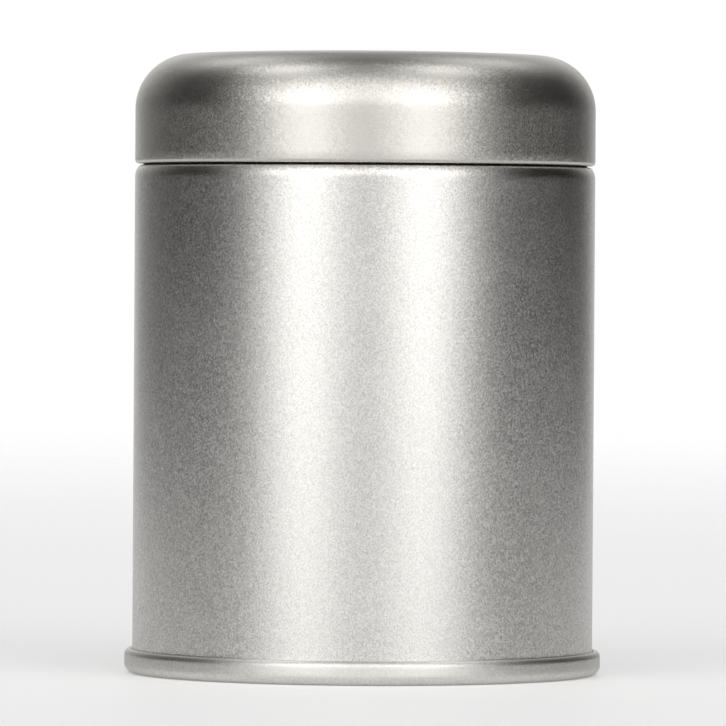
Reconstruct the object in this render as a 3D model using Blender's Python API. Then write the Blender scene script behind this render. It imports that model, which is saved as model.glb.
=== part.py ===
"""Candle tin with a domed slip lid, as a Blender model: run with blender --background --python part.py.

The tin stands on the ring of its base seam at Z = 0, with +Z up and its axis on Z. The body is a rolled
and welded tinplate tube, necked in at the top; the base is joined to it by a double seam with a bead of
sealant inside; the lid slips over the neck and stops on the body's shoulder. A poured wax filling holds
a wick, whose steel tab is stuck to the base with an adhesive disc.

Every piece of sheet is drawn as the centreline of a bent strip in the (radius, height) plane, laid as
straights and bends, then given its thickness and turned about Z.
"""

import math

import bmesh
import bpy

MM = 0.001
QUARTER_TURN = math.pi / 2
HALF_TURN = math.pi

# Headings of a strip in the (radius, height) plane.
OUTWARD = 0.0
DOWN = -QUARTER_TURN

# Fineness of the facets.
ROUND_STEPS = 40
SMALL_ROUND_STEPS = 24
CHORD_ERROR = 0.04 * MM
SHARP_ANGLE = math.radians(40)

# Overall sizes.
BODY_DIAMETER = 65.0 * MM
TIN_HEIGHT = 87.8 * MM
LID_HEIGHT = 16.0 * MM

# The tinplate and its clearances.
SHEET = 0.25 * MM
SEAM_PLAY = 0.12 * MM
SEAT_GAP = 0.3 * MM

# Lid: nearly flat dome, round corner, curled lower edge.
DOME_RADIUS = 600.0 * MM
LID_CORNER_RADIUS = 7.8 * MM
LID_HEM_DIAMETER = 1.0 * MM
LID_HEM_TURN = math.radians(255)

# Body: shoulder under the lid (a soft roll, then a tighter edge), neck, curled rim,
# welded side seam at the back.
SHOULDER_ROLL_RADIUS = 2.4 * MM
SHOULDER_ROLL_ANGLE = math.radians(36)
SHOULDER_EDGE_RADIUS = 0.5 * MM
RIM_ABOVE_LID_WALL = 2.75 * MM
RIM_CURL_DIAMETER = 1.15 * MM
RIM_CURL_TURN = math.radians(255)
WELD_WIDTH = 1.4 * MM
WELD_PROUD = 0.08 * MM
WELD_END_GAP = 0.6 * MM

# Base: double seam, recessed panel with one step.
SEAM_HEIGHT = 3.4 * MM
SEAM_INNER_FOOT_BEND = 0.3 * MM
TIGHTEST_BEND = 0.72 * SHEET
HOOK_END_GAP = 0.63 * MM
PANEL_RECESS = 3.0 * MM
PANEL_STEP = 0.6 * MM
PANEL_STEP_BEND = 0.6 * MM
PANEL_RING_WIDTH = 4.2 * MM
COUNTERSINK_BEND = 0.8 * MM
SEALANT_HEIGHT = 0.2 * MM

# Filling.
WAX_DEPTH_BELOW_SHOULDER = 6.0 * MM
WICK_DIAMETER = 2.4 * MM
WICK_STANDS_PROUD = 8.0 * MM
TAB_DIAMETER = 20.0 * MM
TAB_NECK_HEIGHT = 6.0 * MM
TAB_BEND_RADIUS = 0.5 * MM
STICKER_DIAMETER = 19.0 * MM
STICKER_THICKNESS = 0.8 * MM

# Radii that follow.
BODY_RADIUS = BODY_DIAMETER / 2
BODY_INNER_RADIUS = BODY_RADIUS - SHEET
WALL_RADIUS = BODY_RADIUS - SHEET / 2
COVER_HOOK_RADIUS = WALL_RADIUS + SHEET + SEAM_PLAY
BODY_HOOK_RADIUS = COVER_HOOK_RADIUS + SHEET + SEAM_PLAY
SEAM_WALL_RADIUS = BODY_HOOK_RADIUS + SHEET + SEAM_PLAY
CHUCK_WALL_RADIUS = WALL_RADIUS - SHEET - SEAM_PLAY
NECK_OUTER_RADIUS = BODY_RADIUS - LID_HEM_DIAMETER - SEAT_GAP
NECK_RADIUS = NECK_OUTER_RADIUS - SHEET / 2
HOOK_BEND_RADIUS = SHEET + SEAM_PLAY
SEAM_OUTER_FOOT_BEND = HOOK_BEND_RADIUS + SHEET + SEAM_PLAY
SEAM_CREST_BEND = SEAM_WALL_RADIUS - COVER_HOOK_RADIUS - TIGHTEST_BEND
DOME_BEND = DOME_RADIUS - SHEET / 2
LID_CORNER_BEND = LID_CORNER_RADIUS - SHEET / 2
WICK_HOLE_RADIUS = WICK_DIAMETER / 2 + SEAT_GAP
TAB_NECK_OUTER_RADIUS = WICK_HOLE_RADIUS + SHEET

# Heights that follow.
HOOK_BEND_Z = SHEET / 2 + SEAM_OUTER_FOOT_BEND
CREST_Z = SEAM_HEIGHT - SHEET / 2
BODY_HOOK_TIP_Z = SEAM_HEIGHT - SHEET - HOOK_END_GAP
COVER_HOOK_TIP_Z = HOOK_BEND_Z - HOOK_BEND_RADIUS + SHEET / 2 + HOOK_END_GAP
CROWN_Z = TIN_HEIGHT - SHEET / 2
DOME_ANGLE = math.asin((WALL_RADIUS - LID_CORNER_BEND) / (DOME_BEND - LID_CORNER_BEND))
LID_WALL_TOP_Z = CROWN_Z - DOME_BEND + (DOME_BEND - LID_CORNER_BEND) * math.cos(DOME_ANGLE)
RIM_TOP_Z = LID_WALL_TOP_Z + RIM_ABOVE_LID_WALL
LID_EDGE_Z = TIN_HEIGHT - LID_HEIGHT
SHOULDER_Z = LID_EDGE_Z - SEAT_GAP
PANEL_INNER_Z = PANEL_RECESS + SHEET
RING_INNER_Z = PANEL_INNER_Z + PANEL_STEP
STICKER_Z = PANEL_INNER_Z + SEAT_GAP
STICKER_TOP_Z = STICKER_Z + STICKER_THICKNESS
TAB_Z = STICKER_TOP_Z + SEAT_GAP
TAB_TOP_Z = TAB_Z + TAB_NECK_HEIGHT
WAX_TOP_Z = SHOULDER_Z - WAX_DEPTH_BELOW_SHOULDER


class Strip:
    """The centreline of a bent sheet, laid as straights and bends. A positive bend turns to the left."""

    def __init__(self, radius, height, heading):
        self.radius = radius
        self.height = height
        self.heading = heading
        self.stations = [(radius, height, heading)]

    def straight(self, length):
        self.radius += length * math.cos(self.heading)
        self.height += length * math.sin(self.heading)
        self.stations.append((self.radius, self.height, self.heading))
        return self

    def bend(self, angle, bend_radius):
        side = math.copysign(1.0, angle)
        centre_r = self.radius - side * bend_radius * math.sin(self.heading)
        centre_z = self.height + side * bend_radius * math.cos(self.heading)
        largest_step = 2 * math.acos(1 - min(1.0, CHORD_ERROR / bend_radius))
        steps = max(2, math.ceil(abs(angle) / largest_step))
        start = self.heading
        for step in range(1, steps + 1):
            self.heading = start + angle * step / steps
            self.radius = centre_r + side * bend_radius * math.sin(self.heading)
            self.height = centre_z - side * bend_radius * math.cos(self.heading)
            self.stations.append((self.radius, self.height, self.heading))
        return self

    def jog(self, height, bend_radius):
        """Two opposite bends that shift the strip sideways by height."""
        angle = math.copysign(math.acos(1 - abs(height) / (2 * bend_radius)), height)
        return self.bend(angle, bend_radius).bend(-angle, bend_radius)

    def outline(self, thickness):
        """The strip's two faces as one line of points, along one side and back along the other."""
        left = []
        right = []
        for radius, height, heading in self.stations:
            across_r = -math.sin(heading) * thickness / 2
            across_z = math.cos(heading) * thickness / 2
            left.append((radius + across_r, height + across_z))
            right.append((radius - across_r, height - across_z))
        return left + right[::-1]


def jog_run(height, bend_radius):
    """How far a jog advances along the strip."""
    return 2 * bend_radius * math.sin(math.acos(1 - abs(height) / (2 * bend_radius)))


def turned(name, outline, finish, steps=ROUND_STEPS):
    """Turns an outline about Z. Its ends are joined, unless both lie on the axis."""
    same_point = MM / 1000
    bm = bmesh.new()
    verts = [bm.verts.new((radius, 0.0, height)) for radius, height in outline]
    edges = [bm.edges.new(pair) for pair in zip(verts, verts[1:])]
    on_axis = outline[0][0] < same_point and outline[-1][0] < same_point
    if not on_axis:
        edges.append(bm.edges.new((verts[-1], verts[0])))
    bmesh.ops.spin(
        bm,
        geom=verts + edges,
        cent=(0.0, 0.0, 0.0),
        axis=(0.0, 0.0, 1.0),
        angle=2 * math.pi,
        steps=steps,
        use_merge=True,
    )
    bmesh.ops.remove_doubles(bm, verts=bm.verts, dist=same_point)
    bmesh.ops.recalc_face_normals(bm, faces=bm.faces)
    mesh = bpy.data.meshes.new(name)
    bm.to_mesh(mesh)
    bm.free()
    mesh.shade_smooth()
    mesh.set_sharp_from_angle(angle=SHARP_ANGLE)
    obj = bpy.data.objects.new(name, mesh)
    obj.data.materials.append(finish)
    bpy.context.scene.collection.objects.link(obj)
    return obj


def material(name, colour, roughness, metallic):
    made = bpy.data.materials.new(name)
    made.use_nodes = True
    shader = made.node_tree.nodes["Principled BSDF"]
    shader.inputs["Base Color"].default_value = (*colour, 1.0)
    shader.inputs["Roughness"].default_value = roughness
    shader.inputs["Metallic"].default_value = metallic
    return made


def clear_scene():
    for obj in list(bpy.data.objects):
        bpy.data.objects.remove(obj, do_unlink=True)


def wall_top():
    """Where the straight wall ends and the roll of the shoulder begins."""
    roll_rise = (SHOULDER_ROLL_RADIUS - SHOULDER_EDGE_RADIUS) * math.sin(SHOULDER_ROLL_ANGLE)
    return SHOULDER_Z - SHOULDER_EDGE_RADIUS - roll_rise


def body_strip():
    """From the tip of the body hook, round the bottom, up the wall, over the shoulder and up the neck."""
    roll_bend = SHOULDER_ROLL_RADIUS - SHEET / 2
    edge_bend = SHOULDER_EDGE_RADIUS - SHEET / 2
    shoulder_run = roll_bend + (edge_bend - roll_bend) * math.cos(SHOULDER_ROLL_ANGLE)
    neck_bend = WALL_RADIUS - NECK_RADIUS - shoulder_run
    rim_bend = (RIM_CURL_DIAMETER - SHEET) / 2
    neck_foot_z = SHOULDER_Z - SHEET / 2 + neck_bend
    strip = Strip(BODY_HOOK_RADIUS, BODY_HOOK_TIP_Z, DOWN)
    strip.straight(BODY_HOOK_TIP_Z - HOOK_BEND_Z)
    strip.bend(-HALF_TURN, HOOK_BEND_RADIUS)
    strip.straight(wall_top() - HOOK_BEND_Z)
    strip.bend(SHOULDER_ROLL_ANGLE, roll_bend)
    strip.bend(QUARTER_TURN - SHOULDER_ROLL_ANGLE, edge_bend)
    strip.bend(-QUARTER_TURN, neck_bend)
    strip.straight(RIM_TOP_Z - RIM_CURL_DIAMETER / 2 - neck_foot_z)
    strip.bend(RIM_CURL_TURN, rim_bend)
    return strip


def side_weld():
    """The lapped and welded edges of the rolled body, a narrow raised strip up the back of the wall."""
    foot_z = SEAM_HEIGHT + WELD_END_GAP
    top_z = wall_top() - WELD_END_GAP
    inner = WALL_RADIUS
    outer = BODY_RADIUS + WELD_PROUD
    bpy.ops.mesh.primitive_cube_add(
        size=1.0, location=(0.0, (inner + outer) / 2, (foot_z + top_z) / 2)
    )
    weld = bpy.context.object
    weld.name = "side_weld"
    weld.data.transform(
        ((WELD_WIDTH, 0, 0, 0), (0, outer - inner, 0, 0), (0, 0, top_z - foot_z, 0), (0, 0, 0, 1))
    )
    weld.hide_render = True
    weld.display_type = "WIRE"
    return weld


def body_shell(tinplate):
    shell = turned("body_shell", body_strip().outline(SHEET), tinplate)
    union = shell.modifiers.new("side weld", "BOOLEAN")
    union.operation = "UNION"
    union.solver = "EXACT"
    union.object = side_weld()
    return shell


def base_end(tinplate):
    """From the centre of the recessed panel out, down the chuck wall and round the seam."""
    panel_edge = CHUCK_WALL_RADIUS - COUNTERSINK_BEND
    step_run = jog_run(PANEL_STEP, PANEL_STEP_BEND)
    ring_z = PANEL_RECESS + PANEL_STEP + SHEET / 2
    seam_bottom_z = SHEET / 2
    strip = Strip(0.0, PANEL_RECESS + SHEET / 2, OUTWARD)
    strip.straight(panel_edge - PANEL_RING_WIDTH - step_run)
    strip.jog(PANEL_STEP, PANEL_STEP_BEND)
    strip.straight(PANEL_RING_WIDTH)
    strip.bend(-QUARTER_TURN, COUNTERSINK_BEND)
    strip.straight(ring_z - COUNTERSINK_BEND - seam_bottom_z - SEAM_INNER_FOOT_BEND)
    strip.bend(QUARTER_TURN, SEAM_INNER_FOOT_BEND)
    strip.straight(SEAM_WALL_RADIUS - CHUCK_WALL_RADIUS - SEAM_INNER_FOOT_BEND - SEAM_OUTER_FOOT_BEND)
    strip.bend(QUARTER_TURN, SEAM_OUTER_FOOT_BEND)
    strip.straight(CREST_Z - SEAM_CREST_BEND - seam_bottom_z - SEAM_OUTER_FOOT_BEND)
    strip.bend(QUARTER_TURN, SEAM_CREST_BEND)
    strip.bend(QUARTER_TURN, TIGHTEST_BEND)
    strip.straight(CREST_Z - TIGHTEST_BEND - COVER_HOOK_TIP_Z)
    return turned("base_end", strip.outline(SHEET), tinplate)


def ring_outline(inner, outer, bottom, top):
    """The section of a plain ring, or of a disc when inner is 0."""
    return [(inner, top), (outer, top), (outer, bottom), (inner, bottom)]


def seam_sealant(compound):
    """A bead of lining compound above the body hook, inside the top bend of the seam."""
    foot_z = BODY_HOOK_TIP_Z + SEAM_PLAY
    outline = ring_outline(
        BODY_HOOK_RADIUS - SHEET / 2, BODY_HOOK_RADIUS + SHEET / 2, foot_z, foot_z + SEALANT_HEIGHT
    )
    return turned("seam_sealant", outline, compound)


def lid_shell(tinplate):
    """From the centre of the dome, round the corner, down the wall and round the curled edge."""
    strip = Strip(0.0, CROWN_Z, OUTWARD)
    strip.bend(-DOME_ANGLE, DOME_BEND)
    strip.bend(DOME_ANGLE - QUARTER_TURN, LID_CORNER_BEND)
    strip.straight(LID_WALL_TOP_Z - LID_EDGE_Z - LID_HEM_DIAMETER / 2)
    strip.bend(-LID_HEM_TURN, (LID_HEM_DIAMETER - SHEET) / 2)
    return turned("lid_shell", strip.outline(SHEET), tinplate)


def wax_fill(wax):
    """Poured round the wick and its tab, down to the stepped base panel."""
    outer = BODY_INNER_RADIUS - SEAT_GAP
    step_outer = CHUCK_WALL_RADIUS - COUNTERSINK_BEND - PANEL_RING_WIDTH
    step_inner = step_outer - jog_run(PANEL_STEP, PANEL_STEP_BEND) - SEAT_GAP
    sticker_radius = STICKER_DIAMETER / 2 + SEAT_GAP
    tab_radius = TAB_DIAMETER / 2 + SEAT_GAP
    tab_floor_z = (STICKER_TOP_Z + TAB_Z) / 2
    tab_roof_z = TAB_Z + SHEET + SEAT_GAP
    neck_radius = TAB_NECK_OUTER_RADIUS + TAB_BEND_RADIUS + SEAT_GAP
    neck_roof_z = TAB_TOP_Z + SEAT_GAP
    outline = [
        (WICK_HOLE_RADIUS, WAX_TOP_Z),
        (outer, WAX_TOP_Z),
        (outer, RING_INNER_Z + SEAT_GAP),
        (step_outer - SEAT_GAP, RING_INNER_Z + SEAT_GAP),
        (step_inner, PANEL_INNER_Z + SEAT_GAP),
        (sticker_radius, PANEL_INNER_Z + SEAT_GAP),
        (sticker_radius, tab_floor_z),
        (tab_radius, tab_floor_z),
        (tab_radius, tab_roof_z),
        (neck_radius, tab_roof_z),
        (neck_radius, neck_roof_z),
        (WICK_HOLE_RADIUS, neck_roof_z),
    ]
    return turned("wax_fill", outline, wax)


def wick(cotton):
    outline = ring_outline(0.0, WICK_DIAMETER / 2, TAB_Z, WAX_TOP_Z + WICK_STANDS_PROUD)
    return turned("wick", outline, cotton, SMALL_ROUND_STEPS)


def wick_tab(steel):
    """A flat disc with a neck drawn up from it, which is crimped round the wick."""
    neck = TAB_NECK_OUTER_RADIUS - SHEET / 2
    disc_z = TAB_Z + SHEET / 2
    strip = Strip(neck, TAB_TOP_Z, DOWN)
    strip.straight(TAB_TOP_Z - disc_z - TAB_BEND_RADIUS)
    strip.bend(QUARTER_TURN, TAB_BEND_RADIUS)
    strip.straight(TAB_DIAMETER / 2 - neck - TAB_BEND_RADIUS)
    return turned("wick_tab", strip.outline(SHEET), steel, SMALL_ROUND_STEPS)


def wick_sticker(foam):
    outline = ring_outline(0.0, STICKER_DIAMETER / 2, STICKER_Z, STICKER_TOP_Z)
    return turned("wick_sticker", outline, foam, SMALL_ROUND_STEPS)


def main():
    clear_scene()
    tinplate = material("satin tinplate", (0.62, 0.60, 0.56), 0.35, 1.0)
    body_shell(tinplate)
    base_end(tinplate)
    lid_shell(tinplate)
    seam_sealant(material("lining compound", (0.55, 0.53, 0.47), 0.7, 0.0))
    wax_fill(material("wax", (0.93, 0.89, 0.79), 0.5, 0.0))
    wick(material("waxed cotton", (0.90, 0.87, 0.78), 0.8, 0.0))
    wick_tab(material("tab steel", (0.60, 0.60, 0.60), 0.3, 1.0))
    wick_sticker(material("adhesive foam", (0.92, 0.92, 0.90), 0.9, 0.0))


main()
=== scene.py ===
"""Looks of the candle tin: fine turned sheet metal, wax, wick and studio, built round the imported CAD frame.

Every piece replaces the CAD node of the same name. The sheet pieces are drawn as the centreline of a
bent strip in the (radius, height) plane, given their thickness and turned about Z in fine steps.
"""

import math
import random

import bmesh
import bpy
from mathutils import Matrix, Vector


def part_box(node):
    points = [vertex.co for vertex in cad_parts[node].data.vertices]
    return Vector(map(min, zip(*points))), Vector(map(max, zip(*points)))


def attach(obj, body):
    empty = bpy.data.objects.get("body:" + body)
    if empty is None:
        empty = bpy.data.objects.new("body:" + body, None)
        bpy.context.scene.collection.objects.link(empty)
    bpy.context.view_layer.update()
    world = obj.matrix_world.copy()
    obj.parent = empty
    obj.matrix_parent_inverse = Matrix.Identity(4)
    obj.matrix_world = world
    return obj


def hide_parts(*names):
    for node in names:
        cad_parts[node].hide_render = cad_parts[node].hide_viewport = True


MM = 0.001
QUARTER_TURN = math.pi / 2
FULL_TURN = 2 * math.pi
OUTWARD = 0.0
DOWN = -QUARTER_TURN

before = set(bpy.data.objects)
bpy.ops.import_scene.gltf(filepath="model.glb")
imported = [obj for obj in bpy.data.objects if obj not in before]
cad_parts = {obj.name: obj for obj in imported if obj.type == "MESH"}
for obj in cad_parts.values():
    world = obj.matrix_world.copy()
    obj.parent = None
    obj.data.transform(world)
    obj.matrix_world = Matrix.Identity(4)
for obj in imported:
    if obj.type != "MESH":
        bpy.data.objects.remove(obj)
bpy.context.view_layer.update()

# How fine the turned meshes are.
TURN_STEPS = 224
CHORD_ERROR = 0.004 * MM
SHARP_ANGLE = math.radians(50)

# Sizes read from the frame.
BODY_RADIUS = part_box("lid_shell")[1].x
TIN_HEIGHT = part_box("lid_shell")[1].z
RIM_TOP_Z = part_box("body_shell")[1].z
WAX_FLOOR_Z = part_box("wax_fill")[0].z
WAX_TOP_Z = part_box("wax_fill")[1].z
WICK_FOOT_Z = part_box("wick")[0].z
WICK_TIP_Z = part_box("wick")[1].z
WICK_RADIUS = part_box("wick")[1].x
TAB_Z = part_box("wick_tab")[0].z
TAB_TOP_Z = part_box("wick_tab")[1].z
TAB_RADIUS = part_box("wick_tab")[1].x
STICKER_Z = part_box("wick_sticker")[0].z
STICKER_TOP_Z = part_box("wick_sticker")[1].z
STICKER_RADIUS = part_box("wick_sticker")[1].x
SEALANT_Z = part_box("seam_sealant")[0].z
SEALANT_TOP_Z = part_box("seam_sealant")[1].z

# The sheet and its bends, as in the CAD.
SHEET = 0.25 * MM
SEAM_PLAY = 0.12 * MM
SEAT_GAP = 0.3 * MM
LID_HEIGHT = 16.0 * MM
DOME_RADIUS = 600.0 * MM
LID_CORNER_RADIUS = 7.8 * MM
LID_HEM_DIAMETER = 1.0 * MM
CURL_TURN = math.radians(255)
SHOULDER_ROLL_RADIUS = 2.4 * MM
SHOULDER_ROLL_ANGLE = math.radians(36)
SHOULDER_EDGE_RADIUS = 0.5 * MM
RIM_CURL_DIAMETER = 1.15 * MM
WELD_WIDTH = 1.4 * MM
WELD_PROUD = 0.08 * MM
WELD_END_GAP = 0.6 * MM
WELD_RAMP = 0.25 * MM
SEAM_HEIGHT = 3.4 * MM
SEAM_INNER_FOOT_BEND = 0.3 * MM
TIGHTEST_BEND = 0.72 * SHEET
HOOK_END_GAP = 0.63 * MM
PANEL_RECESS = 3.0 * MM
PANEL_STEP = 0.6 * MM
PANEL_STEP_BEND = 0.6 * MM
PANEL_RING_WIDTH = 4.2 * MM
COUNTERSINK_BEND = 0.8 * MM
TAB_BEND_RADIUS = 0.5 * MM

# Drawn closer to the photo than in the CAD: a narrower gap under the lid, and a rounder seam, in which the
# body's hook sits higher to clear the foot.
SEEN_GAP = 0.22 * MM
SEAM_FOOT_RADIUS = 1.3 * MM
SEAM_CREST_SIDE_BEND = 0.85 * MM
SEAM_CREST_SIDE_ANGLE = math.radians(50)
HOOK_BEND_Z = 1.2 * MM

# Between the wax and what it has set against.
FILM_GAP = 0.05 * MM

# What follows from them.
WALL_RADIUS = BODY_RADIUS - SHEET / 2
LAYER_PITCH = SHEET + SEAM_PLAY
COVER_HOOK_RADIUS = WALL_RADIUS + LAYER_PITCH
BODY_HOOK_RADIUS = WALL_RADIUS + 2 * LAYER_PITCH
SEAM_WALL_RADIUS = WALL_RADIUS + 3 * LAYER_PITCH
CHUCK_WALL_RADIUS = WALL_RADIUS - LAYER_PITCH
SEAM_FOOT_BEND = SEAM_FOOT_RADIUS - SHEET / 2
CREST_SIDE_RUN = SEAM_CREST_SIDE_BEND * (1 - math.cos(SEAM_CREST_SIDE_ANGLE))
CREST_RUN = SEAM_WALL_RADIUS - COVER_HOOK_RADIUS - TIGHTEST_BEND
CREST_TOP_BEND = (CREST_RUN - CREST_SIDE_RUN) / math.cos(SEAM_CREST_SIDE_ANGLE)
CREST_RISE = CREST_TOP_BEND + (SEAM_CREST_SIDE_BEND - CREST_TOP_BEND) * math.sin(SEAM_CREST_SIDE_ANGLE)
NECK_RADIUS = BODY_RADIUS - LID_HEM_DIAMETER - SEAT_GAP - SHEET / 2
DOME_BEND = DOME_RADIUS - SHEET / 2
LID_CORNER_BEND = LID_CORNER_RADIUS - SHEET / 2
CREST_Z = SEAM_HEIGHT - SHEET / 2
BODY_HOOK_TIP_Z = SEAM_HEIGHT - SHEET - HOOK_END_GAP
COVER_HOOK_TIP_Z = HOOK_BEND_Z - LAYER_PITCH + SHEET / 2 + HOOK_END_GAP
CROWN_Z = TIN_HEIGHT - SHEET / 2
DOME_ANGLE = math.asin((WALL_RADIUS - LID_CORNER_BEND) / (DOME_BEND - LID_CORNER_BEND))
LID_WALL_TOP_Z = CROWN_Z - DOME_BEND + (DOME_BEND - LID_CORNER_BEND) * math.cos(DOME_ANGLE)
LID_EDGE_Z = TIN_HEIGHT - LID_HEIGHT
SHOULDER_Z = LID_EDGE_Z - SEEN_GAP
ROLL_RISE = (SHOULDER_ROLL_RADIUS - SHOULDER_EDGE_RADIUS) * math.sin(SHOULDER_ROLL_ANGLE)
WALL_TOP_Z = SHOULDER_Z - SHOULDER_EDGE_RADIUS - ROLL_RISE
PANEL_INNER_Z = PANEL_RECESS + SHEET


# ---------------------------------------------------------------- mesh helpers


class Strip:
    """The centreline of a bent sheet, laid as straights and bends. A positive bend turns to the left."""

    def __init__(self, radius, height, heading):
        self.radius = radius
        self.height = height
        self.heading = heading
        self.stations = [(radius, height, heading)]

    def straight(self, length, pieces=1):
        for _ in range(pieces):
            self.radius += length / pieces * math.cos(self.heading)
            self.height += length / pieces * math.sin(self.heading)
            self.stations.append((self.radius, self.height, self.heading))
        return self

    def bend(self, angle, bend_radius):
        side = math.copysign(1.0, angle)
        centre_r = self.radius - side * bend_radius * math.sin(self.heading)
        centre_z = self.height + side * bend_radius * math.cos(self.heading)
        largest_step = 2 * math.acos(1 - min(1.0, CHORD_ERROR / bend_radius))
        steps = max(3, math.ceil(abs(angle) / largest_step))
        start = self.heading
        for step in range(1, steps + 1):
            self.heading = start + angle * step / steps
            self.radius = centre_r + side * bend_radius * math.sin(self.heading)
            self.height = centre_z - side * bend_radius * math.cos(self.heading)
            self.stations.append((self.radius, self.height, self.heading))
        return self

    def jog(self, height, bend_radius):
        """Two opposite bends that shift the strip sideways by height."""
        angle = math.copysign(math.acos(1 - abs(height) / (2 * bend_radius)), height)
        return self.bend(angle, bend_radius).bend(-angle, bend_radius)

    def outline(self):
        """The sheet's two faces as one line of points, along its left face and back along its right."""
        left = []
        right = []
        for radius, height, heading in self.stations:
            across_r = -math.sin(heading) * SHEET / 2
            across_z = math.cos(heading) * SHEET / 2
            left.append((max(0.0, radius + across_r), height + across_z))
            right.append((max(0.0, radius - across_r), height - across_z))
        return left + right[::-1]


def jog_run(height, bend_radius):
    """How far a jog advances along the strip."""
    return 2 * bend_radius * math.sin(math.acos(1 - abs(height) / (2 * bend_radius)))


def even_angles(steps=TURN_STEPS):
    return [FULL_TURN * step / steps for step in range(steps)]


def smoothstep(value):
    value = min(1.0, max(0.0, value))
    return value * value * (3 - 2 * value)


def finish_mesh(node, bm, finishes, body):
    """Makes the bmesh a smooth object that stands for the CAD node and rides on body."""
    bmesh.ops.recalc_face_normals(bm, faces=bm.faces)
    mesh = bpy.data.meshes.new(node + "_mesh")
    bm.to_mesh(mesh)
    bm.free()
    mesh.shade_smooth()
    mesh.set_sharp_from_angle(angle=SHARP_ANGLE)
    obj = bpy.data.objects.new(node + "_fine", mesh)
    for finish in finishes:
        mesh.materials.append(finish)
    bpy.context.scene.collection.objects.link(obj)
    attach(obj, body)
    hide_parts(node)
    return obj


def turned(outline, angles, reshape=None, face_slot=None):
    """A bmesh of the outline turned about Z.

    Points on the axis become one vertex. reshape(radius, height, angle, row) gives the radius and height
    used there. face_slot(row) gives the material slot of the faces between outline points row and row + 1.
    """
    bm = bmesh.new()
    rings = []
    for row, (radius, height) in enumerate(outline):
        if radius < MM / 1000:
            rings.append([bm.verts.new((0.0, 0.0, height))])
            continue
        ring = []
        for angle in angles:
            r, z = reshape(radius, height, angle, row) if reshape else (radius, height)
            ring.append(bm.verts.new((r * math.cos(angle), r * math.sin(angle), z)))
        rings.append(ring)
    closed = len(rings[0]) > 1 or len(rings[-1]) > 1
    last = len(rings) if closed else len(rings) - 1
    for row in range(last):
        ring, following = rings[row], rings[(row + 1) % len(rings)]
        slot = face_slot(row) if face_slot else 0
        for step in range(len(angles)):
            after = (step + 1) % len(angles)
            corners = [ring[step % len(ring)], ring[after % len(ring)]]
            corners += [following[after % len(following)], following[step % len(following)]]
            unique = list(dict.fromkeys(corners))
            if len(unique) > 2:
                bm.faces.new(unique).material_index = slot
    return bm


def sides(strip_points, left_slot, right_slot, edge_slot):
    """The face_slot of a strip's outline: left face, end, right face and end, in that order."""

    def slot(row):
        if row < strip_points - 1:
            return left_slot
        if row == strip_points - 1 or row == 2 * strip_points - 1:
            return edge_slot
        return right_slot

    return slot


# ---------------------------------------------------------------- material helpers


class Nodes:
    """Short ways to add nodes to a tree."""

    def __init__(self, tree):
        self.tree = tree

    def wire(self, value, socket):
        """Links an output, or sets a number, a vector or a colour."""
        if isinstance(value, bpy.types.NodeSocket):
            self.tree.links.new(value, socket)
        elif isinstance(value, tuple) and len(socket.default_value) == 4:
            socket.default_value = (*value, 1.0)
        else:
            socket.default_value = value

    def maths(self, operation, first, second=0.0):
        node = self.tree.nodes.new("ShaderNodeMath")
        node.operation = operation
        self.wire(first, node.inputs[0])
        self.wire(second, node.inputs[1])
        return node.outputs["Value"]

    def vector(self, operation, first, second=(0.0, 0.0, 0.0), output="Vector"):
        node = self.tree.nodes.new("ShaderNodeVectorMath")
        node.operation = operation
        self.wire(first, node.inputs[0])
        self.wire(second, node.inputs[1])
        return node.outputs[output]

    def band(self, value, low, high, to_low=0.0, to_high=1.0):
        """value from low to high, smoothly mapped to to_low to to_high, and held outside."""
        node = self.tree.nodes.new("ShaderNodeMapRange")
        node.interpolation_type = "SMOOTHSTEP"
        self.wire(value, node.inputs["Value"])
        node.inputs["From Min"].default_value = low
        node.inputs["From Max"].default_value = high
        node.inputs["To Min"].default_value = to_low
        node.inputs["To Max"].default_value = to_high
        return node.outputs["Result"]


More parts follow.
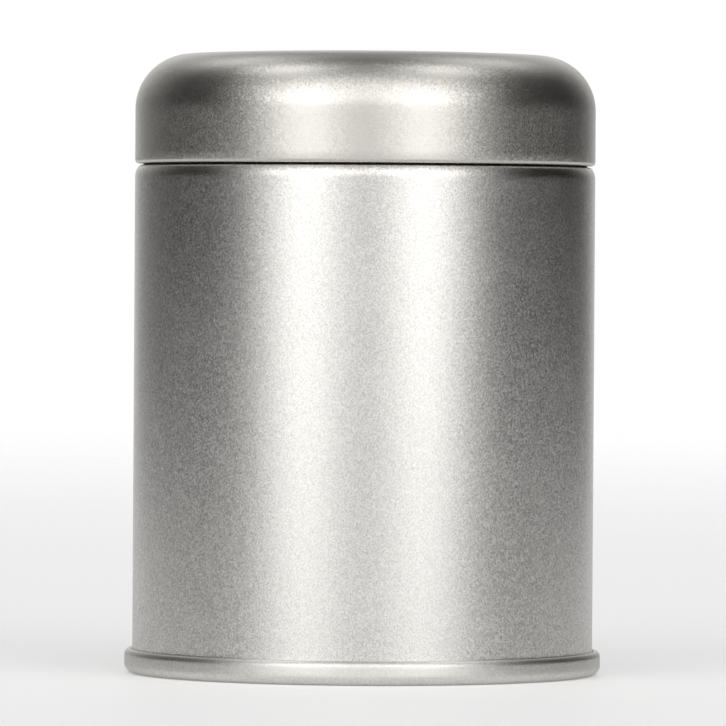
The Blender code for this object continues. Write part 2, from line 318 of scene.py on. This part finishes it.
class Finish(Nodes):
    """A Principled material with short ways to add the nodes that it needs."""

    def __init__(self, name, colour, roughness, metallic=0.0):
        self.material = bpy.data.materials.new(name)
        self.material.use_nodes = True
        super().__init__(self.material.node_tree)
        self.shader = self.tree.nodes["Principled BSDF"]
        self.shader.inputs["Base Color"].default_value = (*colour, 1.0)
        self.shader.inputs["Roughness"].default_value = roughness
        self.shader.inputs["Metallic"].default_value = metallic
        self.place = self.tree.nodes.new("ShaderNodeTexCoord").outputs["Object"]

    def noise(self, scale, detail=2.0, roughness=0.5, distortion=0.0, place=None):
        node = self.tree.nodes.new("ShaderNodeTexNoise")
        self.wire(place or self.place, node.inputs["Vector"])
        node.inputs["Scale"].default_value = scale
        node.inputs["Detail"].default_value = detail
        node.inputs["Roughness"].default_value = roughness
        node.inputs["Distortion"].default_value = distortion
        return node.outputs["Fac"]

    def cells(self, scale, output="Distance"):
        """Cells of about 1 / scale metres: the distance from their centres, or a colour for each."""
        node = self.tree.nodes.new("ShaderNodeTexVoronoi")
        self.wire(self.place, node.inputs["Vector"])
        node.inputs["Scale"].default_value = scale
        return node.outputs[output]

    def stretched(self, x, y, z):
        """The object's coordinates, multiplied along each axis."""
        node = self.tree.nodes.new("ShaderNodeMapping")
        self.wire(self.place, node.inputs["Vector"])
        node.inputs["Scale"].default_value = (x, y, z)
        return node.outputs["Vector"]

    def along(self, axis):
        node = self.tree.nodes.new("ShaderNodeSeparateXYZ")
        self.wire(self.place, node.inputs["Vector"])
        return node.outputs[axis]

    def mix(self, share, first, second):
        node = self.tree.nodes.new("ShaderNodeMix")
        node.data_type = "RGBA"
        self.wire(share, node.inputs["Factor"])
        self.wire(first, node.inputs["A"])
        self.wire(second, node.inputs["B"])
        return node.outputs["Result"]

    def bump(self, height, distance, normal=None):
        node = self.tree.nodes.new("ShaderNodeBump")
        node.inputs["Distance"].default_value = distance
        self.wire(height, node.inputs["Height"])
        if normal:
            self.wire(normal, node.inputs["Normal"])
        return node.outputs["Normal"]

    def tilted(self, grains, tilt):
        """The surface's normal, leaning its own way on each grain, by at most tilt / 2 along each axis."""
        even = self.vector("SUBTRACT", grains, (0.5, 0.5, 0.5))
        lean = self.vector("MULTIPLY", even, (tilt, tilt, tilt))
        normal = self.tree.nodes.new("ShaderNodeNewGeometry").outputs["Normal"]
        return self.vector("NORMALIZE", self.vector("ADD", normal, lean))

    def paint(self, socket, value):
        self.wire(value, self.shader.inputs[socket])


GRAIN_SCALE = 6500


def darker(tint, share):
    return tuple(share * part for part in tint)


def satin_tinplate(name, tint, roughness, grain_tilt, speckle, weld=False):
    """Varnished tinplate with a fine stone grain. weld adds the bare, heat-tinted stripe up the back.

    grain_tilt is how far the grains lean. speckle is how dark the darkest are, where 1 is half the tint.
    """
    finish = Finish(name, tint, roughness, metallic=1.0)
    grains = finish.cells(GRAIN_SCALE, output="Color")
    sweep = finish.noise(28, detail=3.0)
    smudge = finish.noise(75, detail=4.0, roughness=0.65, distortion=0.6)
    one_channel = finish.vector("DOT_PRODUCT", grains, (0.0, 0.0, 1.0), "Value")
    shade = finish.maths("MULTIPLY", one_channel, speckle)
    colour = finish.mix(finish.band(sweep, 0.35, 0.65, 0.0, 0.25), tint, darker(tint, 0.92))
    colour = finish.mix(shade, colour, darker(tint, 0.5))
    rough = finish.band(smudge, 0.45, 0.75, roughness, roughness + 0.03)
    normal = finish.tilted(grains, grain_tilt)
    if weld:
        across = finish.maths("ABSOLUTE", finish.along("X"))
        behind = finish.band(finish.along("Y"), 0.8 * BODY_RADIUS, 0.9 * BODY_RADIUS)
        stripe = finish.maths("MULTIPLY", finish.band(across, 2.6 * MM, 2.9 * MM, 1.0, 0.0), behind)
        heat = finish.maths("MULTIPLY", finish.band(across, 0.5 * MM, 1.7 * MM, 1.0, 0.0), behind)
        nugget = finish.noise(1100, detail=2.0, place=finish.stretched(0.35, 0.35, 1.0))
        colour = finish.mix(stripe, colour, (0.66, 0.65, 0.62))
        scorched = finish.mix(nugget, (0.20, 0.185, 0.17), (0.42, 0.40, 0.37))
        colour = finish.mix(finish.maths("MULTIPLY", heat, 0.75), colour, scorched)
        rough = finish.maths("ADD", rough, finish.maths("MULTIPLY", stripe, -0.07))
        normal = finish.bump(finish.maths("MULTIPLY", nugget, heat), 0.03 * MM, normal=normal)
    finish.paint("Base Color", colour)
    finish.paint("Roughness", rough)
    finish.paint("Normal", normal)
    return finish.material


def bright_tinplate(name):
    """The inside of the sheet: tin without varnish, with faint rolling lines."""
    finish = Finish(name, (0.78, 0.775, 0.75), 0.28, metallic=1.0)
    grain = finish.noise(1500, detail=3.0, place=finish.stretched(1.0, 1.0, 0.12))
    bloom = finish.noise(130, detail=4.0, roughness=0.7, distortion=0.4)
    colour = finish.mix(finish.band(bloom, 0.4, 0.7, 0.0, 0.5), (0.78, 0.775, 0.75), (0.68, 0.68, 0.67))
    finish.paint("Base Color", colour)
    dull = finish.band(bloom, 0.4, 0.7, 0.22, 0.32)
    finish.paint("Roughness", finish.maths("ADD", dull, finish.band(grain, 0.3, 0.7, 0.0, 0.06)))
    finish.paint("Normal", finish.bump(grain, 0.010 * MM))
    return finish.material


def cut_steel(name):
    """The sheet's cut edges: bare grey steel with shear marks."""
    finish = Finish(name, (0.40, 0.39, 0.38), 0.5, metallic=1.0)
    shear = finish.noise(4000, detail=2.0)
    finish.paint("Base Color", finish.mix(shear, (0.30, 0.29, 0.28), (0.52, 0.51, 0.50)))
    finish.paint("Roughness", finish.band(shear, 0.3, 0.7, 0.4, 0.6))
    finish.paint("Normal", finish.bump(shear, 0.02 * MM))
    return finish.material


def poured_wax(name):
    """Creamy vegetable wax: translucent, with frosting blotches and fine pores whose pits are painted darker,
    as shade.
    """
    finish = Finish(name, (0.93, 0.885, 0.78), 0.42)
    frost = finish.noise(160, detail=5.0, roughness=0.62, distortion=0.8)
    pores = finish.cells(900)
    ripple = finish.noise(320, detail=3.0)
    colour = finish.mix(finish.band(frost, 0.47, 0.62), (0.905, 0.845, 0.715), (0.955, 0.925, 0.85))
    # Painted shade: the pits of the pores darkened towards brown.
    colour = finish.mix(finish.band(pores, 0.10, 0.0, 0.0, 0.3), colour, (0.78, 0.70, 0.56))
    finish.paint("Base Color", colour)
    finish.paint("Roughness", finish.band(frost, 0.4, 0.65, 0.34, 0.55))
    normal = finish.bump(ripple, 0.08 * MM)
    normal = finish.bump(finish.band(pores, 0.0, 0.2), 0.02 * MM, normal=normal)
    finish.paint("Normal", normal)
    finish.shader.inputs["Subsurface Weight"].default_value = 0.35
    finish.shader.inputs["Subsurface Radius"].default_value = (1.0, 0.72, 0.42)
    finish.shader.inputs["Subsurface Scale"].default_value = 2.0 * MM
    finish.shader.inputs["Coat Weight"].default_value = 0.12
    finish.shader.inputs["Coat Roughness"].default_value = 0.25
    return finish.material


def waxed_cotton(name):
    """Braided cotton soaked in wax: fine fibres along the strands, wax in the hollows."""
    finish = Finish(name, (0.90, 0.87, 0.78), 0.7)
    fibres = finish.noise(9000, detail=3.0, place=finish.stretched(1.0, 1.0, 0.25))
    soak = finish.noise(700, detail=2.0)
    colour = finish.mix(finish.band(fibres, 0.3, 0.7), (0.80, 0.755, 0.64), (0.95, 0.93, 0.87))
    colour = finish.mix(finish.band(soak, 0.5, 0.7, 0.0, 0.4), colour, (0.86, 0.80, 0.66))
    finish.paint("Base Color", colour)
    finish.paint("Roughness", finish.band(soak, 0.4, 0.7, 0.78, 0.5))
    finish.paint("Normal", finish.bump(fibres, 0.03 * MM))
    finish.shader.inputs["Sheen Weight"].default_value = 0.25
    return finish.material


def tab_steel(name):
    """Thin tinned steel strip, with stamping lines across it."""
    finish = Finish(name, (0.62, 0.62, 0.62), 0.3, metallic=1.0)
    lines = finish.noise(2600, detail=3.0, place=finish.stretched(1.0, 0.05, 1.0))
    finish.paint("Base Color", finish.mix(lines, (0.56, 0.56, 0.56), (0.70, 0.70, 0.69)))
    finish.paint("Roughness", finish.band(lines, 0.3, 0.7, 0.24, 0.38))
    finish.paint("Normal", finish.bump(lines, 0.01 * MM))
    return finish.material


def adhesive_foam(name):
    """White closed-cell foam, painted darker towards the middle of each cell, as shade in its hollow."""
    finish = Finish(name, (0.92, 0.92, 0.90), 0.9)
    cells = finish.cells(3200)
    # Painted shade: each cell darker towards its hollow middle.
    colour = finish.mix(finish.band(cells, 0.1, 0.6), (0.84, 0.84, 0.81), (0.95, 0.95, 0.93))
    finish.paint("Base Color", colour)
    finish.paint("Roughness", finish.band(cells, 0.1, 0.6, 0.8, 0.95))
    finish.paint("Normal", finish.bump(cells, 0.06 * MM))
    return finish.material


def lining_compound(name):
    """Rubbery sealing compound, dried with a slight skin."""
    finish = Finish(name, (0.55, 0.53, 0.47), 0.65)
    skin = finish.noise(1800, detail=3.0)
    finish.paint("Base Color", finish.mix(skin, (0.48, 0.46, 0.40), (0.62, 0.60, 0.54)))
    finish.paint("Roughness", finish.band(skin, 0.3, 0.7, 0.55, 0.75))
    finish.paint("Normal", finish.bump(skin, 0.03 * MM))
    return finish.material


# ---------------------------------------------------------------- the tin


def weld_angles():
    """Even angles, with fine ones across the weld at the back."""
    reach = 2.0 * WELD_WIDTH / BODY_RADIUS
    fine = 44
    close = [QUARTER_TURN - reach + 2 * reach * step / fine for step in range(fine + 1)]
    return sorted(close + [angle for angle in even_angles() if abs(angle - QUARTER_TURN) > 1.05 * reach])


def weld_rise(height, angle):
    """How far the lapped and welded edges stand out of the wall there."""
    across = abs(angle - QUARTER_TURN) * BODY_RADIUS
    from_end = min(height - SEAM_HEIGHT - WELD_END_GAP, WALL_TOP_Z - WELD_END_GAP - height)
    edge = smoothstep((WELD_WIDTH / 2 - across) / WELD_RAMP + 0.5)
    return WELD_PROUD * edge * smoothstep(from_end / WELD_RAMP)


def body_shell(outer, inner, edge):
    """From the tip of the body hook, round the bottom, up the wall, over the shoulder and up the neck."""
    roll_bend = SHOULDER_ROLL_RADIUS - SHEET / 2
    edge_bend = SHOULDER_EDGE_RADIUS - SHEET / 2
    shoulder_run = roll_bend + (edge_bend - roll_bend) * math.cos(SHOULDER_ROLL_ANGLE)
    neck_bend = WALL_RADIUS - NECK_RADIUS - shoulder_run
    neck_foot_z = SHOULDER_Z - SHEET / 2 + neck_bend
    weld_foot_z = SEAM_HEIGHT + WELD_END_GAP
    weld_top_z = WALL_TOP_Z - WELD_END_GAP
    strip = Strip(BODY_HOOK_RADIUS, BODY_HOOK_TIP_Z, DOWN)
    strip.straight(BODY_HOOK_TIP_Z - HOOK_BEND_Z)
    strip.bend(-math.pi, LAYER_PITCH)
    strip.straight(weld_foot_z - HOOK_BEND_Z)
    strip.straight(WELD_RAMP, pieces=4)
    strip.straight(weld_top_z - weld_foot_z - 2 * WELD_RAMP, pieces=24)
    strip.straight(WELD_RAMP, pieces=4)
    strip.straight(WELD_END_GAP)
    strip.bend(SHOULDER_ROLL_ANGLE, roll_bend)
    strip.bend(QUARTER_TURN - SHOULDER_ROLL_ANGLE, edge_bend)
    strip.bend(-QUARTER_TURN, neck_bend)
    strip.straight(RIM_TOP_Z - RIM_CURL_DIAMETER / 2 - neck_foot_z, pieces=3)
    strip.bend(CURL_TURN, (RIM_CURL_DIAMETER - SHEET) / 2)
    outline = strip.outline()
    points = len(strip.stations)

    def with_weld(radius, height, angle, row):
        on_outer_wall = row >= points and abs(radius - BODY_RADIUS) < MM / 1000
        return (radius + weld_rise(height, angle) if on_outer_wall else radius), height

    slots = sides(points, 1, 0, 2)
    bm = turned(outline, weld_angles(), with_weld, slots)
    return finish_mesh("body_shell", bm, [outer, inner, edge], "tin")


def base_end(outer, inner, edge):
    """From the centre of the recessed panel out, down the chuck wall and round the seam."""
    panel_edge = CHUCK_WALL_RADIUS - COUNTERSINK_BEND
    step_run = jog_run(PANEL_STEP, PANEL_STEP_BEND)
    ring_z = PANEL_RECESS + PANEL_STEP + SHEET / 2
    strip = Strip(0.0, PANEL_RECESS + SHEET / 2, OUTWARD)
    strip.straight(panel_edge - PANEL_RING_WIDTH - step_run, pieces=12)
    strip.jog(PANEL_STEP, PANEL_STEP_BEND)
    strip.straight(PANEL_RING_WIDTH, pieces=3)
    strip.bend(-QUARTER_TURN, COUNTERSINK_BEND)
    strip.straight(ring_z - COUNTERSINK_BEND - SHEET / 2 - SEAM_INNER_FOOT_BEND)
    strip.bend(QUARTER_TURN, SEAM_INNER_FOOT_BEND)
    strip.straight(SEAM_WALL_RADIUS - CHUCK_WALL_RADIUS - SEAM_INNER_FOOT_BEND - SEAM_FOOT_BEND)
    strip.bend(QUARTER_TURN, SEAM_FOOT_BEND)
    strip.straight(CREST_Z - CREST_RISE - SHEET / 2 - SEAM_FOOT_BEND, pieces=3)
    strip.bend(SEAM_CREST_SIDE_ANGLE, SEAM_CREST_SIDE_BEND)
    strip.bend(QUARTER_TURN - SEAM_CREST_SIDE_ANGLE, CREST_TOP_BEND)
    strip.bend(QUARTER_TURN, TIGHTEST_BEND)
    strip.straight(CREST_Z - TIGHTEST_BEND - COVER_HOOK_TIP_Z)
    slots = sides(len(strip.stations), 1, 0, 2)
    bm = turned(strip.outline(), even_angles(), face_slot=slots)
    return finish_mesh("base_end", bm, [outer, inner, edge], "tin")


def lid_shell(outer, inner, edge):
    """From the centre of the dome, round the corner, down the wall and round the curled edge."""
    strip = Strip(0.0, CROWN_Z, OUTWARD)
    dome_pieces = 16
    for _ in range(dome_pieces):
        strip.bend(-DOME_ANGLE / dome_pieces, DOME_BEND)
    strip.bend(DOME_ANGLE - QUARTER_TURN, LID_CORNER_BEND)
    strip.straight(LID_WALL_TOP_Z - LID_EDGE_Z - LID_HEM_DIAMETER / 2, pieces=6)
    strip.bend(-CURL_TURN, (LID_HEM_DIAMETER - SHEET) / 2)
    slots = sides(len(strip.stations), 0, 1, 2)
    bm = turned(strip.outline(), even_angles(), face_slot=slots)
    return finish_mesh("lid_shell", bm, [outer, inner, edge], "lid")


def seam_sealant(compound):
    """A bead with a rounded, slightly uneven section, laid above the body hook."""
    middle_z = (SEALANT_Z + SEALANT_TOP_Z) / 2
    half_width = SHEET / 2
    half_height = (SEALANT_TOP_Z - SEALANT_Z) / 2
    squareness = 0.6
    outline = []
    for angle in even_angles(20):
        across = math.copysign(abs(math.cos(angle)) ** squareness, math.cos(angle))
        up = math.copysign(abs(math.sin(angle)) ** squareness, math.sin(angle))
        outline.append((BODY_HOOK_RADIUS + half_width * across, middle_z + half_height * up))

    def uneven(radius, height, angle, row):
        swell = 0.92 + 0.06 * math.sin(23 * angle) + 0.02 * math.sin(61 * angle + 1.0)
        return radius, middle_z + (height - middle_z) * swell

    return finish_mesh("seam_sealant", turned(outline, even_angles(), uneven), [compound], "tin")


# ---------------------------------------------------------------- the filling


def wax_surface(radius, outer):
    """Height of the set wax above its level: it climbs the wall and the wick, and sinks between them."""
    climb = 0.55 * MM * math.exp(-(outer - radius) / (0.7 * MM))
    at_wick = 0.7 * MM * math.exp(-(radius - WICK_RADIUS) / (0.9 * MM))
    sink = 0.35 * MM * math.exp(-(((radius - 5.5 * MM) / (3.2 * MM)) ** 2))
    return climb + at_wick - sink


def wax_fill(wax):
    """Poured round the wick and its tab, down to the stepped base panel."""
    outer = BODY_RADIUS - SHEET - FILM_GAP
    hole = WICK_RADIUS + FILM_GAP
    level_z = WAX_TOP_Z - 0.3 * MM
    step_outer = CHUCK_WALL_RADIUS - COUNTERSINK_BEND - PANEL_RING_WIDTH - SEAT_GAP
    step_inner = step_outer - jog_run(PANEL_STEP, PANEL_STEP_BEND)
    ring_z = PANEL_INNER_Z + PANEL_STEP + SEAT_GAP
    tab_radius = TAB_RADIUS + SEAT_GAP
    sticker_radius = STICKER_RADIUS + SEAT_GAP
    tab_floor_z = (STICKER_TOP_Z + TAB_Z) / 2
    tab_roof_z = TAB_Z + SHEET + SEAT_GAP
    neck_radius = WICK_RADIUS + SEAT_GAP + SHEET + TAB_BEND_RADIUS + SEAT_GAP
    neck_roof_z = TAB_TOP_Z + SEAT_GAP
    outline = []
    rows = 90
    for step in range(rows + 1):
        eased = 0.5 - 0.5 * math.cos(math.pi * step / rows)
        radius = hole + (outer - hole) * eased
        outline.append((radius, level_z + wax_surface(radius, outer)))
    top_rows = len(outline)
    wall_pieces = 9
    for step in range(1, wall_pieces):
        outline.append((outer, level_z - (WAX_TOP_Z - ring_z) * step / wall_pieces))
    outline += [
        (outer, ring_z + 1.2 * MM),
        (outer - 0.4 * MM, ring_z),
        (step_outer, ring_z),
        (step_inner, WAX_FLOOR_Z),
        (sticker_radius, WAX_FLOOR_Z),
        (sticker_radius, tab_floor_z),
        (tab_radius, tab_floor_z),
        (tab_radius, tab_roof_z),
        (neck_radius, tab_roof_z),
        (neck_radius, neck_roof_z),
        (hole, neck_roof_z),
    ]

    def set_unevenly(radius, height, angle, row):
        if row >= top_rows:
            return radius, height
        x, y = radius * math.cos(angle), radius * math.sin(angle)
        waves = math.sin(210 * x + 60 * y) * math.cos(160 * y - 40 * x)
        waves += 0.6 * math.sin(430 * x - 330 * y + 1.3)
        fade = smoothstep((radius - hole) / (2 * MM)) * smoothstep((outer - radius) / (2 * MM))
        return radius, height + 0.05 * MM * waves * fade

    return finish_mesh("wax_fill", turned(outline, even_angles(), set_unevenly), [wax], "tin")


def wick(cotton):
    """A round braid of eight strands, four each way, cut off square with slightly loose ends."""
    strands_each_way = 4
    strand_radius = 0.27 * MM
    strand_sides = 8
    braid_radius = 0.70 * MM
    weave = 0.15 * MM
    spread = 0.10 * MM
    loose_length = 1.2 * MM
    pitch = 4.4 * MM
    step_length = 0.22 * MM
    rng = random.Random(7)
    bm = bmesh.new()
    for turn in (1, -1):
        for strand in range(strands_each_way):
            phase = FULL_TURN * strand / strands_each_way + (FULL_TURN / 8 if turn < 0 else 0.0)
            end = WICK_TIP_Z - WICK_FOOT_Z - rng.uniform(0.0, 0.35) * MM
            count = int(end / step_length)
            line = []
            for step in range(count + 1):
                length = end * step / count
                wound = FULL_TURN * length / pitch
                angle = turn * wound + phase
                # In each turn a strand meets eight that wind the other way, and goes over and under them.
                over = turn * weave * math.sin(strands_each_way * wound)
                loose = smoothstep((length - end + loose_length) / loose_length)
                radius = braid_radius + over + spread * loose
                x, y = radius * math.cos(angle), radius * math.sin(angle)
                line.append(Vector((x, y, WICK_FOOT_Z + length)))
            tube(bm, line, strand_radius, strand_sides)
    core = [Vector((0, 0, WICK_FOOT_Z + 0.1 * MM)), Vector((0, 0, WICK_TIP_Z - 0.5 * MM))]
    tube(bm, core, radius=0.5 * MM, side_count=12)
    return finish_mesh("wick", bm, [cotton], "tin")


def tube(bm, line, radius, side_count):
    """A closed tube along the line, with rounded ends."""
    rings = []
    for step, point in enumerate(line):
        before, after = line[max(0, step - 1)], line[min(len(line) - 1, step + 1)]
        tangent = (after - before).normalized()
        outward = Vector((point.x, point.y, 0.0))
        outward = outward if outward.length > MM / 100 else Vector((1.0, 0.0, 0.0))
        outward = (outward - tangent * outward.dot(tangent)).normalized()
        aside = tangent.cross(outward)
        ring = []
        for side in range(side_count):
            angle = FULL_TURN * side / side_count
            away = outward * math.cos(angle) + aside * math.sin(angle)
            ring.append(bm.verts.new(point + radius * away))
        rings.append(ring)
    for ring, following in zip(rings, rings[1:]):
        for side in range(side_count):
            after = (side + 1) % side_count
            bm.faces.new((ring[side], ring[after], following[after], following[side]))
    for ring, point, bulge in ((rings[0], line[0], -0.25), (rings[-1], line[-1], 0.25)):
        tip = bm.verts.new(point + Vector((0.0, 0.0, bulge * radius)))
        for side in range(side_count):
            bm.faces.new((ring[side], ring[(side + 1) % side_count], tip))


def wick_tab(steel):
    """A disc with a neck drawn up from it, pinched in four places round the wick."""
    neck = WICK_RADIUS + SEAT_GAP + SHEET / 2
    disc_z = TAB_Z + SHEET / 2
    strip = Strip(neck, TAB_TOP_Z, DOWN)
    strip.straight(TAB_TOP_Z - disc_z - TAB_BEND_RADIUS, pieces=20)
    strip.bend(QUARTER_TURN, TAB_BEND_RADIUS)
    strip.straight(TAB_RADIUS - neck - TAB_BEND_RADIUS, pieces=6)
    crimp_z = TAB_TOP_Z - 2.0 * MM

    def crimped(radius, height, angle, row):
        around = max(0.0, math.cos(4 * angle)) ** 2
        along = math.exp(-(((height - crimp_z) / (0.9 * MM)) ** 2))
        pinch = 0.2 * MM * around * along if radius < 2 * neck else 0.0
        return radius - pinch, height

    return finish_mesh("wick_tab", turned(strip.outline(), even_angles(96), crimped), [steel], "tin")


def wick_sticker(foam):
    """A foam disc whose cut edge bulges a little under the tab."""
    middle_z = (STICKER_Z + STICKER_TOP_Z) / 2
    half = (STICKER_TOP_Z - STICKER_Z) / 2
    bulge = 0.25 * MM
    waist = STICKER_RADIUS - bulge
    steps = 12
    outline = [(0.0, STICKER_TOP_Z), (0.5 * waist, STICKER_TOP_Z)]
    for step in range(steps + 1):
        angle = QUARTER_TURN - math.pi * step / steps
        outline.append((waist + bulge * math.cos(angle), middle_z + half * math.sin(angle)))
    outline += [(0.5 * waist, STICKER_Z), (0.0, STICKER_Z)]
    return finish_mesh("wick_sticker", turned(outline, even_angles(96)), [foam], "tin")


# ---------------------------------------------------------------- studio

# The camera's place, seen from the tin's middle, and how it leans.
CAMERA_DISTANCE = 1.1
EYE_HEIGHT = 59.9 * MM
CAMERA_ASIDE = -0.14 * MM
LENS = 386.0
LOOK_DOWN = math.radians(0.838)
ROLL = math.radians(0.37)


def camera():
    """A long lens level with the body's upper part, tipped down a little and rolled as in the photo."""
    data = bpy.data.cameras.new("camera")
    data.lens = LENS
    data.sensor_width = 36.0
    data.clip_start = 0.05
    data.clip_end = 100.0
    obj = bpy.data.objects.new("camera", data)
    bpy.context.scene.collection.objects.link(obj)
    level = Matrix.Rotation(QUARTER_TURN - LOOK_DOWN, 4, "X") @ Matrix.Rotation(ROLL, 4, "Z")
    obj.matrix_world = Matrix.Translation((CAMERA_ASIDE, -CAMERA_DISTANCE, EYE_HEIGHT)) @ level
    bpy.context.scene.camera = obj


# The studio's soft lights: how far round from the camera's side, positive to its right, and
# how high, in degrees, how tight the light is, and how bright at its middle. A pair stands on both sides.
LIGHT_PAIRS = (
    (30, 13, 13, 2.2),
    (42, 45, 14, 0.9),
    (95, 68, 48, 2.0),
    (150, 50, 50, 1.2),
)
LONE_LIGHTS = (
    (0, 40, 8, 0.6),
    (180, 8, 9, 1.0),
    (-140, 15, 14, 0.15),
)


def toward(azimuth, elevation):
    a, e = math.radians(azimuth), math.radians(elevation)
    return (math.sin(a) * math.cos(e), -math.cos(a) * math.cos(e), math.sin(e))


def studio():
    """A white room for the camera, lit for everything else by soft lights that fade with direction."""
    world = bpy.data.worlds.new("studio")
    bpy.context.scene.world = world
    world.use_nodes = True
    nodes = Nodes(world.node_tree)
    background = world.node_tree.nodes["Background"]
    direction = world.node_tree.nodes.new("ShaderNodeTexCoord").outputs["Generated"]
    total = 0.0
    mirrored = tuple((-azimuth, *rest) for azimuth, *rest in LIGHT_PAIRS)
    for azimuth, elevation, tightness, brightness in LIGHT_PAIRS + mirrored + LONE_LIGHTS:
        near = nodes.vector("DOT_PRODUCT", direction, toward(azimuth, elevation), "Value")
        glow = nodes.maths("POWER", nodes.maths("MAXIMUM", near, 0.0), tightness)
        total = nodes.maths("ADD", nodes.maths("MULTIPLY", glow, brightness), total)
    seen = world.node_tree.nodes.new("ShaderNodeLightPath").outputs["Is Camera Ray"]
    background.inputs["Color"].default_value = (1.0, 1.0, 1.0, 1.0)
    nodes.wire(nodes.maths("MAXIMUM", total, seen), background.inputs["Strength"])


def floor():
    """A pale floor that fades into the white surroundings, lighter to the camera than in reflections."""
    reach = 1.6
    below = 0.05 * MM
    bm = bmesh.new()
    bmesh.ops.create_circle(bm, cap_ends=True, radius=reach, segments=96)
    mesh = bpy.data.meshes.new("floor_mesh")
    bm.to_mesh(mesh)
    bm.free()
    obj = bpy.data.objects.new("floor", mesh)
    obj.location.z = -below
    bpy.context.scene.collection.objects.link(obj)
    finish = Finish("pale floor", (0.86, 0.86, 0.86), 0.6)
    seen = finish.tree.nodes.new("ShaderNodeLightPath").outputs["Is Camera Ray"]
    finish.paint("Emission Color", (1.0, 1.0, 1.0))
    finish.paint("Emission Strength", finish.maths("ADD", finish.maths("MULTIPLY", seen, 0.2), 0.08))
    far = finish.vector("LENGTH", finish.place, output="Value")
    finish.paint("Alpha", finish.band(far, 0.3, 0.95 * reach, 1.0, 0.0))
    mesh.materials.append(finish.material)


# ---------------------------------------------------------------- everything


def main():
    bpy.context.scene.view_settings.view_transform = "Standard"
    camera()
    studio()
    floor()
    inner = bright_tinplate("bright_tinplate")
    edge = cut_steel("cut_steel")
    body_finish = satin_tinplate("satin_tinplate_body", (0.98, 0.962, 0.925), 0.275, 0.05, 0.8, weld=True)
    # The lid is the same tinplate as the body; its darker tint is painted shade, so that it reflects less,
    # while its warmer tone is its own.
    lid_finish = satin_tinplate("satin_tinplate_lid", (0.79, 0.77, 0.72), 0.31, 0.09, 0.4)
    base_finish = satin_tinplate("satin_tinplate_base", (0.88, 0.865, 0.83), 0.38, 0.06, 0.4)
    body_shell(body_finish, inner, edge)
    base_end(base_finish, inner, edge)
    lid_shell(lid_finish, inner, edge)
    seam_sealant(lining_compound("lining_compound"))
    wax_fill(poured_wax("poured_wax"))
    wick(waxed_cotton("waxed_cotton"))
    wick_tab(tab_steel("tab_steel"))
    wick_sticker(adhesive_foam("adhesive_foam"))


main()
